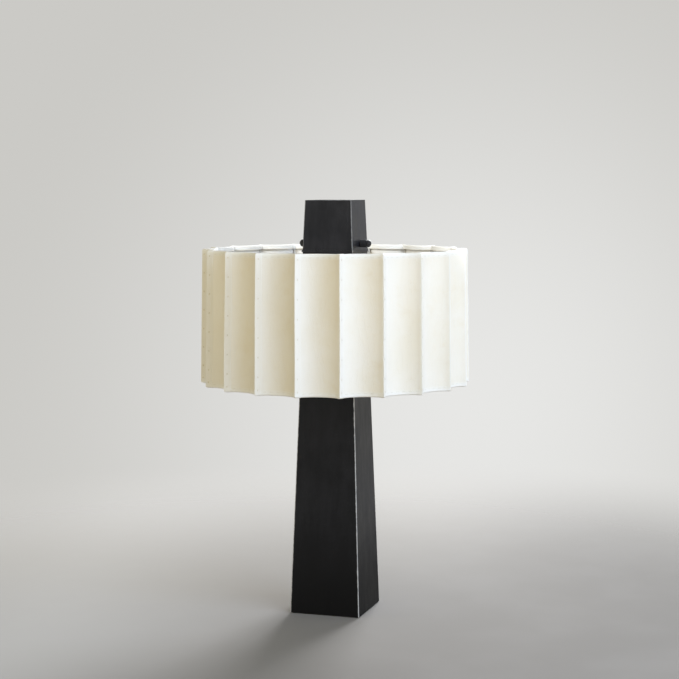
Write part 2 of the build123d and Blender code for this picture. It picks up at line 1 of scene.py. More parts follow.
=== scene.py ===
# %% [markdown]
# # A table lamp with a fluted parchment shade
# The lamp is a tapered square column of blackened steel, a drum shade of twenty parchment panels
# sewn over a wire frame, and a square steel cap on top. The rigid parts come from the CAD model as
# they are, and this lesson adds what CAD leaves plain: the sewn parchment, the felt, the solder and
# the finishes. Everything is in metres, with +Z up and the column's front face towards -Y.

# %% Load the frame
import math
import bpy
import numpy as np
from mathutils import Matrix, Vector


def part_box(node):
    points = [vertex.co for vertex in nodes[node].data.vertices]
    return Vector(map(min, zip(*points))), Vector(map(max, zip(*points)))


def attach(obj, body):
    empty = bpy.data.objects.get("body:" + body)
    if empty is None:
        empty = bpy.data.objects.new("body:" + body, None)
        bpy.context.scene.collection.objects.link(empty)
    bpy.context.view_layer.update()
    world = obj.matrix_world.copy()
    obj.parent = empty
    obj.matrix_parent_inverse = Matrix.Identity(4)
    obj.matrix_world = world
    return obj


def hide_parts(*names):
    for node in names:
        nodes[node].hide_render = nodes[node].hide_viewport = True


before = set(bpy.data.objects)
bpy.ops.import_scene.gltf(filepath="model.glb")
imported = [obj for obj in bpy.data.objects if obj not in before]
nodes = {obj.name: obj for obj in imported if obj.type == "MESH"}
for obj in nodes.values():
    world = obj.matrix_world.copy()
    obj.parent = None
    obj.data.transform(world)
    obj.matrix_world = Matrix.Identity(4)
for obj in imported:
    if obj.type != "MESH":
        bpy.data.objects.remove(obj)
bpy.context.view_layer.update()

# %% [markdown]
# Every new piece is a surface worked out with numpy, so the lesson needs only a few helpers: one
# that numbers the quads of a thin closed sheet, one that does the same for tubes, one that closes
# their poles, and one that measures a volume. Blender's modelling tools could do the same by hand,
# but a formula keeps the panels alike and lets the whole shade change with one value.

# %% Mesh helpers
def grid_quads(index):
    """Quads of a grid of vertex numbers, each going across a row first and then down a column."""
    corners = [index[:-1, :-1], index[:-1, 1:], index[1:, 1:], index[1:, :-1]]
    return np.stack(corners, -1).reshape(-1, 4)


def sheet_quads(rows, columns):
    """Quads of a thin closed sheet: a front grid, a back grid turned over, and a rim between them."""
    front = np.arange(rows * columns).reshape(rows, columns)
    back = front + rows * columns
    rim = np.concatenate([front[0, :-1], front[:-1, -1], front[-1, :0:-1], front[:0:-1, 0]])
    after = np.roll(rim, -1)
    border = np.stack([after, rim, rim + rows * columns, after + rows * columns], -1)
    return np.concatenate([grid_quads(front), grid_quads(back)[:, ::-1], border])


def tube_quads(count, rings, sides):
    """Quads of many tubes, each a grid of rings and sides whose last side meets the first."""
    index = np.arange(count * rings * sides).reshape(count, rings, sides)
    index = np.concatenate([index, index[:, :, :1]], 2)
    corners = [index[:, :-1, :-1], index[:, :-1, 1:], index[:, 1:, 1:], index[:, 1:, :-1]]
    return np.stack(corners, -1).reshape(-1, 4)


def weld(points, quads):
    """Closes poles: points that lie on each other become one, and a quad that loses a corner by it
    becomes a triangle. Also returns which point each kept one was."""
    points = points.reshape(-1, 3)
    rounded = np.round(points, 8) + 0.0
    _, kept, number = np.unique(rounded, axis=0, return_index=True, return_inverse=True)
    quads = number.ravel()[quads]
    apart = quads != np.roll(quads, -1, axis=1)
    whole = apart.all(1)
    triangles = quads[~whole][apart[~whole]].reshape(-1, 3)
    return points[kept], quads[whole].tolist() + triangles.tolist(), kept


def volume_of(points, quads):
    """Volume inside closed quads: the sum of the pyramids from the origin to their triangles."""
    corner = points.reshape(-1, 3)[quads]
    first = np.einsum("ij,ij->i", corner[:, 0], np.cross(corner[:, 1], corner[:, 2]))
    second = np.einsum("ij,ij->i", corner[:, 0], np.cross(corner[:, 2], corner[:, 3]))
    return float((first + second).sum() / 6)


print("quads of a closed sheet of 3 by 4 points:", len(sheet_quads(3, 4)))

# %% [markdown]
# The points then become objects. Each one is shaded smooth with its sharp folds kept, and rides on
# one body of the lamp. A UV map and named values, one per point, can be laid on it for the finishes
# to read.

# %% Laying meshes
sharp_fold = 35.0


def lay_mesh(name, points, faces, body, crease=sharp_fold):
    """Object at the origin that rides on a body; edges that turn more than crease degrees stay sharp."""
    mesh = bpy.data.meshes.new(name)
    mesh.from_pydata(points.reshape(-1, 3).tolist(), [], list(faces))
    mesh.polygons.foreach_set("use_smooth", np.ones(len(mesh.polygons), bool))
    mesh.set_sharp_from_angle(angle=math.radians(crease))
    mesh.validate()
    piece = bpy.data.objects.new(name, mesh)
    bpy.context.scene.collection.objects.link(piece)
    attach(piece, body)
    return piece


def lay_uv(piece, places):
    """UV map from one pair of numbers per vertex."""
    corner = np.empty(len(piece.data.loops), np.int32)
    piece.data.loops.foreach_get("vertex_index", corner)
    layer = piece.data.uv_layers.new(name="cut")
    layer.data.foreach_set("uv", places.reshape(-1, 2)[corner].astype(np.float32).ravel())


def lay_values(piece, name, values):
    """Attribute with one number per vertex."""
    layer = piece.data.attributes.new(name, "FLOAT", "POINT")
    layer.data.foreach_set("value", values.astype(np.float32).ravel())


print("folds stay sharp from this many degrees:", sharp_fold)

# %% [markdown]
# The shade is a drum whose outline is a ring of hollow arcs, called flutes, that meet in sharp
# ridges. Each flute is part of a cone about an upright axis outside the shade, as on the CAD
# panels. So one formula gives any point of the shade from a flute's number, a share of the way
# across it, a height, and an inset from the outer face towards the lamp.

# %% The fluted drum
flute_count = 20
flute_depth = 0.014
shade_turn = math.radians(1.5)
top_radius = 0.2285
shade_flare = 0.004

panel_low, panel_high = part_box("shade_panels")
shade_low, shade_top = panel_low.z, panel_high.z
top_ring_z = sum(corner.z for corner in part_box("top_ring")) / 2
bottom_ring_z = sum(corner.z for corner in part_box("bottom_ring")) / 2
ring_inset = shade_top - top_ring_z

flute_half = math.pi / flute_count
half_chord = top_radius * math.sin(flute_half)
bow_top = (half_chord**2 + flute_depth**2) / (2 * flute_depth)
bow_axis = top_radius * math.cos(flute_half) - flute_depth + bow_top
bottom_radius = top_radius + shade_flare
bow_low = math.hypot(
    bow_axis - bottom_radius * math.cos(flute_half), bottom_radius * math.sin(flute_half)
)
flute_arc = 2 * bow_top * math.asin(half_chord / bow_top)


def bow_radius(height):
    """Radius of a flute's outer face about its own axis: straight from the bottom rim to the top."""
    share = (height - shade_low) / (shade_top - shade_low)
    return bow_low + (bow_top - bow_low) * share


def flute_point(flute, share, height, inset):
    """Point of the shade. The arc about the flute's axis runs between the two ridge planes, and
    share goes along it from 0 at the left ridge to 1 at the right, seen from outside. The whole is
    turned round the lamp to its flute, with the small drift that the next cell gives."""
    radius = bow_radius(height) + inset
    reach = np.arcsin(bow_axis * math.sin(flute_half) / radius) - flute_half
    angle = (2 * share - 1) * reach
    out = bow_axis - radius * np.cos(angle)
    aside = radius * np.sin(angle)
    turn = shade_turn + flute_half * (2 * flute + 1) + ridge_drift(flute, share, height)
    x = out * np.cos(turn) - aside * np.sin(turn)
    y = out * np.sin(turn) + aside * np.cos(turn)
    return np.stack(np.broadcast_arrays(x, y, height), -1)


print("flutes:", flute_count, "arc of one in mm:", round(flute_arc * 1000, 1))

# %% [markdown]
# Hand-sewn parchment is never quite even. Each ridge wanders a little between the two rings that
# hold it, and each panel bows in or out by its own small amount. The doubled strip beside a ridge
# is stiffer than a single skin, so between the rings it stays nearly flat, and the hollow is
# deepest just past it. A noise texture could fake that, but formulas with seeded random strengths
# stay at zero on the rings, where the frame holds the parchment, and repeat on every run.

# %% Hand-made unevenness
uneven = np.random.default_rng(20)
drift_angle = 0.0020
drift = uneven.normal(0, drift_angle, (2, flute_count))
bow_out = uneven.uniform(-0.0011, 0.0013, flute_count)
bow_tilt = uneven.uniform(-0.0008, 0.0008, flute_count)
strip_hollow = 0.0025
ridge_share = 0.03


def ridge_drift(flute, share, height):
    """Angle by which a point drifts round the shade: between the drifts of its two ridges, each
    one long wave and one half as long, with no drift at the rims."""
    rise = math.pi * (height - shade_low) / (shade_top - shade_low)
    left = np.mod(flute, flute_count)
    right = np.mod(flute + 1, flute_count)
    waves = np.sin(rise), np.sin(2 * rise)
    at_left = drift[0][left] * waves[0] + drift[1][left] * waves[1] / 2
    at_right = drift[0][right] * waves[0] + drift[1][right] * waves[1] / 2
    return at_left + (at_right - at_left) * share


def strip_drop(share, rise):
    """Share of the stiff strip's hollow: nothing on the rib, a steep drop that levels off past the
    strip, a slow way back to the next ridge, and nothing at the rims."""
    off_rib = np.clip((share - ridge_share) / (1 - ridge_share), 0, 1)
    return (1 - (1 - off_rib) ** 6) * (1 - off_rib**2) * (1 - (2 * rise - 1) ** 4)


def panel_bow(flute, share, height):
    """Inset by which a panel bows: flat at its ridges and rims, and fullest in the middle, on top of
    the hollow beside its stiff strip."""
    rise = np.clip((height - shade_low) / (shade_top - shade_low), 0, 1)
    index = np.mod(flute, flute_count)
    fullness = 16 * share**2 * (1 - share) ** 2 * np.sin(math.pi * rise)
    swing = bow_out[index] + bow_tilt[index] * np.cos(math.pi * rise)
    return swing * fullness + strip_hollow * strip_drop(share, rise)


print("panel bow in mm:", np.round(bow_out * 1000, 1).tolist())

# %% [markdown]
# A panel is one strip of parchment. Its hems fold over the top and bottom ring wires, and its
# right edge wraps round the ridge and lies on the next panel as a seam flap. The section from hem
# to hem is a line of insets and heights, and the sheet's thickness is laid off on both sides of
# that line. Solidify would give the same wall, but here the flap also has to climb over its
# neighbour by one thickness, which is easiest along the line's own normal.

# %% The section of a panel
parchment = 0.00045
hem_height = 0.0085
flap_width = 0.0100
roll_radius = ring_inset - 1.5 * parchment
bend_steps, hem_steps, wall_steps = 9, 3, 30


def panel_section():
    """Insets and heights along a panel: up the inner hem, round the top ring, down the wall, round
    the bottom ring and up the lower hem, with the unit normals of the outer side."""
    bend = np.linspace(0, math.pi, bend_steps)
    hem_up = np.linspace(shade_top - hem_height, top_ring_z, hem_steps + 1)[:-1]
    wall = np.linspace(top_ring_z, bottom_ring_z, wall_steps + 2)[1:-1]
    hem_down = np.linspace(bottom_ring_z, shade_low + hem_height, hem_steps + 1)[1:]
    inner, outer = ring_inset + roll_radius, ring_inset - roll_radius
    over = ring_inset + roll_radius * np.cos(bend)
    hem = np.full(hem_steps, inner)
    insets = [hem, over, np.full(wall_steps, outer), over[::-1], hem]
    heights = [
        hem_up,
        top_ring_z + roll_radius * np.sin(bend),
        wall,
        bottom_ring_z - roll_radius * np.sin(bend),
        hem_down,
    ]
    line = np.stack([np.concatenate(insets), np.concatenate(heights)], -1)
    run = np.gradient(line, axis=0)
    run /= np.linalg.norm(run, axis=1, keepdims=True)
    normal = np.stack([run[:, 1], -run[:, 0]], -1)
    return line, normal


section_line, section_normal = panel_section()
section_run = np.linalg.norm(np.diff(section_line, axis=0), axis=1)
section_length = np.concatenate([[0], np.cumsum(section_run)])
print("cut length of a panel in mm:", round(section_length[-1] * 1000, 1))

# %% [markdown]
# Across a panel, the points crowd together near the ridge, where the sheet turns by about 100
# degrees. A fold in parchment is a small bend and not a knife edge, so the finished points are
# averaged along the sheet with bell-shaped weights about a millimetre wide. The open stretch has
# its points further apart than that, and they stay where they are. Shortly before the ridge the
# sheet rises by one thickness, so that the flap past it lies on the next panel and not in it.

# %% Across a panel
flap_share = flap_width / flute_arc
fold_width = 0.0011
open_stretch = np.linspace(0.012, 0.90, 26)
ridge_stretch = np.linspace(0.915, 1, 12)
flap_stretch = 1 + np.linspace(0, flap_share, 15)[1:]
across = np.concatenate([open_stretch, ridge_stretch, flap_stretch]) * flute_arc
on_next = across > flute_arc * (1 + 1e-9)
spacing = np.gradient(across)
fold_weights = np.exp(-(((across[:, None] - across[None, :]) / fold_width) ** 2)) * spacing
fold_weights /= fold_weights.sum(1, keepdims=True)


def smooth_step(value, start, end):
    """0 before start, 1 after end, and an even S-curve between."""
    part = np.clip((value - start) / (end - start), 0, 1)
    return part * part * (3 - 2 * part)


rise_start, rise_end = 0.009, 0.002


def ridge_lift(distance):
    """Rise of the sheet: one thickness, gained between two distances before the right ridge."""
    return parchment * smooth_step(distance, flute_arc - rise_start, flute_arc - rise_end)


flap_lift = ridge_lift(across)

# %% [markdown]
# The finish of the parchment needs two values at every point. One says where two layers lie on
# each other, which lets less light through. The other says how far the skin is scraped pale, most
# on the hems and the fold. It also holds a painted highlight: a paleness on the left part of each
# flute, where it faces the key light, on the flap as on the panel under it. The back of the sheet
# is the flesh side of the skin, which is scraped pale all over. Painting them by hand would work
# too, but a formula puts them on all panels alike.

# %% Layers, pale wear and a painted highlight
hem_ease = 0.0015
flap_layers, flap_start = 0.2, 0.985
# The third paleness is a painted highlight on the part of each flute that faces the key light, and the
# reach below sets how far it goes.
fold_paleness, painted_highlight_paleness, hem_paleness, flesh_paleness = 0.8, 0.6, 0.85, 0.95
painted_highlight_reach = 0.8


def hem_of_panel():
    """1 along both hems, where two layers lie tight on each other, easing to 0 at their edges."""
    rim = np.minimum(shade_top - section_line[:, 1], section_line[:, 1] - shade_low)
    return 1 - smooth_step(rim, hem_height - hem_ease, hem_height)


def layers_of_panel():
    """The hems, and a fifth as much on the flap, which lies loose on the next panel."""
    flap = flap_layers * smooth_step(across, flute_arc * flap_start, flute_arc)
    return np.maximum(flap[:, None], hem_of_panel()[None, :])


def pale_wear_and_highlight_of_panel():
    """Most on the hems and on the fold, which is a bell two millimetres wide at the ridge. Right of
    a ridge, on the flap as on the panel under it, a painted highlight eases away towards the next
    ridge: the part of each flute that faces the key light is painted paler."""
    fold = fold_paleness * np.exp(-(((across - flute_arc) / (2 * fold_width)) ** 2))
    past_ridge = across - flute_arc * on_next
    # Painted highlight: paler where the flute faces the key light, easing off towards the next ridge.
    painted_highlight = painted_highlight_paleness * (1 - smooth_step(past_ridge, 0.0, painted_highlight_reach * flute_arc))
    edge = np.maximum(fold, painted_highlight)
    return np.maximum(edge[:, None], hem_paleness * hem_of_panel()[None, :])


panel_layers = np.tile(layers_of_panel(), (2, 1, 1))
hair_side_paleness_and_highlight = pale_wear_and_highlight_of_panel()
panel_paleness_and_highlight = np.stack([hair_side_paleness_and_highlight, np.maximum(hair_side_paleness_and_highlight, flesh_paleness)])
print("mean paleness outside and inside:", np.round(panel_paleness_and_highlight.mean((1, 2)), 2).tolist())

# %% [markdown]
# Now the twenty panels. Each one is computed as a single array of front and back points, and given
# a UV map in metres, so that the skin's clouds follow the cut. The panels replace the CAD panels,
# which stay in the physics model.

# %% Parchment panels
def panel_points(flute):
    """Front and back points of one panel: the section moved half a thickness to either side, plus
    the flap's lift, carried across the flute and on over the next one."""
    side = np.array([0.5, -0.5])[:, None, None] * parchment + flap_lift[None, :, None]
    inset = section_line[:, 0] + section_normal[:, 0] * side
    height = section_line[:, 1] + section_normal[:, 1] * side
    number = flute + on_next[None, :, None]
    share = (across / flute_arc - on_next)[None, :, None]
    inset = inset + panel_bow(number, share, height)
    points = flute_point(number, share, height, inset)
    return np.einsum("ij,sjqc->siqc", fold_weights, points)


panel_quads = sheet_quads(len(across), len(section_line))
panel_cut = np.stack(np.meshgrid(across, section_length, indexing="ij"), -1)
skin_step = 0.41
panels = []
for flute in range(flute_count):
    points = panel_points(flute)
    name = f"parchment_panel_{flute + 1:02d}"
    panel = lay_mesh(name, points, panel_quads.tolist(), "shade")
    lay_uv(panel, np.tile(panel_cut + [skin_step * flute, 0], (2, 1, 1, 1)))
    lay_values(panel, "layers", panel_layers)
    lay_values(panel, "paleness_and_highlight", panel_paleness_and_highlight)
    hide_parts("shade_panels")
    panels.append(panel)
panel_volume = volume_of(points, panel_quads) * 1e6
print("panels:", len(panels), "volume of one in cm3:", round(panel_volume, 1))

# %% [markdown]
# Waxed thread holds the seams. On the lamp it shows as a row of short stitches down the middle
# of each flap, about 32 mm apart, and as a fine running stitch along both hems. A stitch is a
# short tube that bulges in its middle and dips into the parchment at both ends. All the stitches
# of one row are computed together, so there is no loop over them.

# %% Stitch helper
flap_edge = 0.0004
stitch_rings, stitch_sides = 7, 6


def outer_point(flute, distance, height, proud):
    """Point proud of the outermost layer, at a distance from the flute's left ridge: the flap lies
    over the first stretch, and the panel itself after it."""
    lift = parchment * (1 - smooth_step(distance, flap_width - flap_edge, flap_width + flap_edge))
    share = distance / flute_arc
    face = ring_inset - roll_radius - parchment / 2
    inset = face - lift - ridge_lift(distance) + panel_bow(flute, share, height) - proud
    return flute_point(flute, share, height, inset)


def stitches(name, flute, distance, height, along, up, radius, tint):
    """Tubes through points laid along and up the shade from each stitch's middle. The tube's height
    over the parchment is an arch that ends below it, and its ends close to points."""
    step = np.linspace(-1, 1, stitch_rings)
    turn = np.linspace(0, 2 * math.pi, stitch_sides + 1)[:-1]
    arch = radius * (0.9 - 2.2 * step**4)
    girth = radius * np.sqrt(np.clip(1 - step**8, 0, 1))
    length = math.hypot(along, up)
    place = distance[:, None, None] + step[:, None] * along / 2
    level = height[:, None, None] + step[:, None] * up / 2
    spread = girth[:, None] * np.cos(turn)
    proud = arch[:, None] + girth[:, None] * np.sin(turn)
    place = place + spread * up / length
    level = level - spread * along / length
    points = outer_point(flute[:, None, None] + 0 * place.astype(int), place, level, proud)
    points, faces, kept = weld(points, tube_quads(len(flute), len(step), len(turn)))
    piece = lay_mesh(name, points, faces, "shade", crease=80)
    run = np.broadcast_to(step[:, None] * length / 2, place.shape)
    round_it = np.broadcast_to(turn * radius, place.shape)
    lay_uv(piece, np.stack([round_it, run], -1).reshape(-1, 2)[kept])
    piece.data.materials.append(tint)
    print(name, "stitches:", len(flute))


middle_point = outer_point(0, flute_arc / 2, (shade_low + shade_top) / 2, 0.0)
middle_radius = math.hypot(middle_point[0], middle_point[1])
print("radius in the middle of the first panel in mm:", round(middle_radius * 1000, 1))

# %% [markdown]
# Finishes are node trees, and most of them say the same thing: take the place on the object, mix
# noises of several sizes, and let them steer colour, roughness and a fine relief. A small bench
# class keeps each finish to a few readable lines. The textures read Object coordinates in metres,
# so they stay put when a body moves.

# %% A bench for finishes
class Bench:
    """A material in the making. add makes a node, plug wires a socket or sets its value, and feed and
    set reach the shader's own inputs. Each other method adds one node and returns its output."""

    def __init__(self, name):
        self.material = bpy.data.materials.new(name)
        self.material.use_nodes = True
        self.tree = self.material.node_tree
        self.shader = self.tree.nodes["Principled BSDF"]
        self.output = self.tree.nodes["Material Output"]
        self.place = self.add("ShaderNodeTexCoord").outputs["Object"]

    def add(self, kind, **settings):
        node = self.tree.nodes.new(kind)
        for key, value in settings.items():
            setattr(node, key, value)
        return node

    def plug(self, socket, value):
        if isinstance(value, bpy.types.NodeSocket):
            self.tree.links.new(value, socket)
        else:
            socket.default_value = value

    def noise(self, scale, detail=4.0, roughness=0.55, place=None, warp=0.0):
        node = self.add("ShaderNodeTexNoise")
        self.plug(node.inputs["Vector"], self.place if place is None else place)
        for key, value in (("Scale", scale), ("Detail", detail), ("Roughness", roughness)):
            node.inputs[key].default_value = value
        node.inputs["Distortion"].default_value = warp
        return node.outputs["Fac"]

    def stretch(self, scale, place=None, turn=(0, 0, 0)):
        node = self.add("ShaderNodeMapping")
        self.plug(node.inputs["Vector"], self.place if place is None else place)
        node.inputs["Scale"].default_value = scale
        node.inputs["Rotation"].default_value = turn
        return node.outputs["Vector"]

    def math(self, operation, first, second=0.0):
        node = self.add("ShaderNodeMath", operation=operation)
        self.plug(node.inputs[0], first)
        self.plug(node.inputs[1], second)
        return node.outputs[0]

    def span(self, value, low, high, first=0.0, last=1.0):
        node = self.add("ShaderNodeMapRange", interpolation_type="SMOOTHSTEP")
        for socket, number in zip(node.inputs, (value, low, high, first, last)):
            self.plug(socket, number)
        return node.outputs["Result"]

    def blend(self, share, first, second):
        node = self.add("ShaderNodeMix", data_type="RGBA")
        self.plug(node.inputs["Factor"], share)
        self.plug(node.inputs["A"], first if not isinstance(first, tuple) else (*first, 1.0))
        self.plug(node.inputs["B"], second if not isinstance(second, tuple) else (*second, 1.0))
        return node.outputs["Result"]

    def relief(self, height, distance):
        node = self.add("ShaderNodeBump")
        node.inputs["Distance"].default_value = distance
        self.plug(node.inputs["Height"], height)
        self.plug(self.shader.inputs["Normal"], node.outputs["Normal"])
        return node.outputs["Normal"]

    def feed(self, **values):
        names = {"color": "Base Color", "roughness": "Roughness", "metallic": "Metallic"}
        for key, value in values.items():
            value = (*value, 1.0) if isinstance(value, tuple) else value
            self.plug(self.shader.inputs[names[key]], value)

    def set(self, **values):
        names = {"specular": "Specular IOR Level", "coat": "Coat Weight", "sheen": "Sheen Weight"}
        names["coat_roughness"] = "Coat Roughness"
        for key, value in values.items():
            self.shader.inputs[names[key]].default_value = value


dressed = set()


def dress(finish, *names):
    """The finish becomes the only material of these CAD nodes."""
    for name in names:
        nodes[name].data.materials.clear()
        nodes[name].data.materials.append(finish)
    dressed.update(names)


print("CAD nodes to dress:", len(nodes))

# %% [markdown]
# Parchment is a scraped skin: cream, matt, slightly cloudy, with faint veins and pores. It also
# lets light through, which turns warm on its way, so the side away from the light glows tan and
# the lit side looks nearly white. A Principled surface alone can't do that, so it is mixed
# with a warm Translucent one, less so where two layers lie on each other. Where the skin is bent
# or scraped thin its fibres open, so there it is paler, and so is the light that comes through.
# The same paleness also carries a painted highlight on the part of each flute that faces the key
# light.

# %% Parchment
def parchment_skin():
    """Clouds, blotches and veins steer the tone of a Principled and of a Translucent surface. The
    attributes say where both turn pale, which includes a painted highlight on each flute's lit side,
    and where less of the second is mixed in."""
    bench = Bench("parchment_skin")
    cut = bench.add("ShaderNodeTexCoord").outputs["UV"]
    doubled = bench.add("ShaderNodeAttribute", attribute_name="layers").outputs["Fac"]
    pale_wear_and_highlight = bench.add("ShaderNodeAttribute", attribute_name="paleness_and_highlight").outputs["Fac"]
    clouds = bench.noise(9.0, 5.0, 0.55, cut, 0.6)
    blotches = bench.noise(34.0, 4.0, 0.6, cut, 0.3)
    veins = bench.noise(70.0, 3.0, 0.5, bench.stretch((1.0, 0.28, 1.0), cut), 1.4)
    off_vein = bench.math("ABSOLUTE", bench.math("SUBTRACT", veins, 0.5))
    vein = bench.span(off_vein, 0.0, 0.035, 1.0, 0.0)
    pores = bench.noise(1500.0, 2.0, 0.5, cut)
    pale, cream, tan = (0.895, 0.873, 0.80), (0.875, 0.844, 0.742), (0.825, 0.766, 0.625)
    colour = bench.blend(bench.span(clouds, 0.38, 0.66), pale, cream)
    colour = bench.blend(bench.span(blotches, 0.52, 0.80, 0.0, 0.5), colour, tan)
    colour = bench.blend(bench.math("MULTIPLY", vein, 0.14), colour, tan)
    # Pale where the skin is scraped or bent, and where the painted highlight lies on each flute's lit
    # side.
    colour = bench.blend(pale_wear_and_highlight, colour, (0.935, 0.93, 0.905))
    bench.feed(color=colour, roughness=bench.span(blotches, 0.3, 0.7, 0.50, 0.68))
    bench.set(specular=0.35)
    height = bench.math("ADD", bench.math("MULTIPLY", pores, 0.25), blotches)
    height = bench.math("ADD", height, bench.math("MULTIPLY", vein, 0.3))
    normal = bench.relief(height, 0.00035)
    glow = bench.add("ShaderNodeBsdfTranslucent")
    warm = bench.blend(bench.span(clouds, 0.35, 0.7), (0.93, 0.70, 0.36), (0.90, 0.63, 0.28))
    # The painted highlight pales the light that comes through as well.
    warm = bench.blend(pale_wear_and_highlight, warm, (0.95, 0.92, 0.85))
    bench.plug(glow.inputs["Color"], warm)
    bench.plug(glow.inputs["Normal"], normal)
    mix = bench.add("ShaderNodeMixShader")
    bench.plug(mix.inputs["Fac"], bench.span(doubled, 0.0, 1.0, 0.15, 0.11))
    bench.plug(mix.inputs[1], bench.shader.outputs["BSDF"])
    bench.plug(mix.inputs[2], glow.outputs["BSDF"])
    bench.plug(bench.output.inputs["Surface"], mix.outputs["Shader"])
    return bench.material


skin = parchment_skin()
for panel in panels:
    panel.data.materials.append(skin)
print("finish:", skin.name, "on", len(panels), "panels")

# %% [markdown]
# The thread is waxed linen, a little darker than the skin, and twisted. A wave texture along the
# stitch's own UV map draws the twist, which is enough at this size. The seams have a stronger and
# darker thread than the hems.

# %% Thread
def waxed_thread(name, pale, dark):
    """The mean of a diagonal wave and a fine noise runs from the dark tone to the pale one. It also
    lifts the relief, so the twist's grooves carry a painted shade.
    """
    bench = Bench(name)
    cut = bench.add("ShaderNodeTexCoord").outputs["UV"]
    twist = bench.add("ShaderNodeTexWave", bands_direction="DIAGONAL")
    bench.plug(twist.inputs["Vector"], bench.stretch((420.0, 420.0, 1.0), cut))
    twist.inputs["Scale"].default_value = 1.0
    fuzz = bench.noise(900.0, 2.0)
    # Painted shade: the twist's grooves are darker, and the same value lifts the relief.
    shade = bench.math("MULTIPLY", bench.math("ADD", twist.outputs["Fac"], fuzz), 0.5)
    bench.feed(color=bench.blend(shade, dark, pale), roughness=bench.span(fuzz, 0.2, 0.8, 0.55, 0.8))
    bench.relief(shade, 0.0003)
    return bench.material


seam_thread = waxed_thread("seam_thread", (0.83, 0.79, 0.68), (0.69, 0.63, 0.50))
hem_thread = waxed_thread("hem_thread", (0.86, 0.835, 0.76), (0.74, 0.705, 0.62))
print("threads:", seam_thread.name, hem_thread.name)

# %% [markdown]
# A row of seam stitches starts just below the top rim and ends just above the bottom one. The hem
# stitches run along each panel from the seam strip to shortly before the next ridge. Each call
# makes one mesh for the whole shade.

# %% Stitches
seam_rows, seam_pitch, seam_first = 8, 0.0319, 0.0095
seam_place, seam_stitch, seam_radius = 0.0055, 0.0036, 0.00048
seam_levels = shade_top - seam_first - seam_pitch * np.arange(seam_rows)
seam_levels[-1] = shade_low + seam_first
seam_flutes = np.repeat(np.arange(flute_count), len(seam_levels))
stitches(
    "seam_stitches",
    seam_flutes,
    np.full(len(seam_flutes), seam_place),
    np.tile(seam_levels, flute_count),
    0.0,
    seam_stitch,
    seam_radius,
    seam_thread,
)
hem_line, hem_stitch, hem_radius = 0.0066, 0.0062, 0.00032
hem_count, hem_from_left, hem_from_right = 6, 0.016, 0.008
hem_places = np.linspace(hem_from_left, flute_arc - hem_from_right, hem_count)
hem_flutes = np.repeat(np.arange(flute_count), len(hem_places))
hem_levels = {"top_hem_stitches": shade_top - hem_line, "bottom_hem_stitches": shade_low + hem_line}
for hem_name, level in hem_levels.items():
    stitches(
        hem_name,
        hem_flutes,
        np.tile(hem_places, flute_count),
        np.full(len(hem_flutes), level),
        hem_stitch,
        0.0,
        hem_radius,
        hem_thread,
    )

# %% [markdown]
# The wire frame is soldered and then enamelled white. A small bead fills each corner where an
# upright rib meets a ring, and four more hold the ends of the spider's arms to their ribs. A bead
# is a ball stretched along the wire that it wets. All of them come from one array.

# %% Solder beads
arm_count = 4
arm_bead, ring_bead = (0.0034, 0.0026, 0.0026), (0.0021, 0.0026, 0.0034)
bead_rings, bead_sides = 7, 8


def solder_beads(angle, reach, level, size):
    """Balls on a grid of latitude and longitude, stretched by their size, then moved out by the reach
    and up to the level and turned round the lamp by their angle."""
    latitude = np.linspace(-math.pi / 2, math.pi / 2, bead_rings)[:, None]
    longitude = np.linspace(0, 2 * math.pi, bead_sides + 1)[:-1]
    out = reach[:, None, None] + size[0] * np.cos(latitude) * np.cos(longitude)
    aside = size[1] * np.cos(latitude) * np.sin(longitude)
    height = level[:, None, None] + size[2] * np.sin(latitude)
    turn = angle[:, None, None]
    x = out * np.cos(turn) - aside * np.sin(turn)
    y = out * np.sin(turn) + aside * np.cos(turn)
    return np.stack(np.broadcast_arrays(x, y, height), -1)


def wire_radius(ring):
    """Half the height of a ring's box."""
    low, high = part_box(ring)
    return (high.z - low.z) / 2


ridge_angles = shade_turn + 2 * flute_half * np.arange(flute_count)
arm_angles = ridge_angles[:: flute_count // arm_count]
arm_low, arm_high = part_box("spider_arms")
bead_rows = [(arm_angles, arm_high.x, (arm_low.z + arm_high.z) / 2, arm_bead)]
for ring, inward in (("top_ring", -1), ("bottom_ring", 1)):
    ring_low, ring_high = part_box(ring)
    reach = ring_high.x - wire_radius(ring)
    level = (ring_low.z + ring_high.z) / 2 + inward * wire_radius(ring)
    bead_rows.append((ridge_angles, reach, level, ring_bead))
bead_grids = np.concatenate(
    [
        solder_beads(angle, np.full(len(angle), reach), np.full(len(angle), level), size)
        for angle, reach, level, size in bead_rows
    ]
)
bead_points, bead_faces, _ = weld(bead_grids, tube_quads(*bead_grids.shape[:3])[:, ::-1])
solder = lay_mesh("solder_beads", bead_points, bead_faces, "shade", crease=60)
print("solder beads:", len(bead_grids))

# %% [markdown]
# The felt under the foot is a square of pressed wool with cut edges. It rests on the table, so only
# its edge shows as a thin dark line. One closed surface does: a rounded edge carried round a
# square with soft corners.

# %% Felt pad
corner_power, round_steps, edge_steps = 24, 96, 7


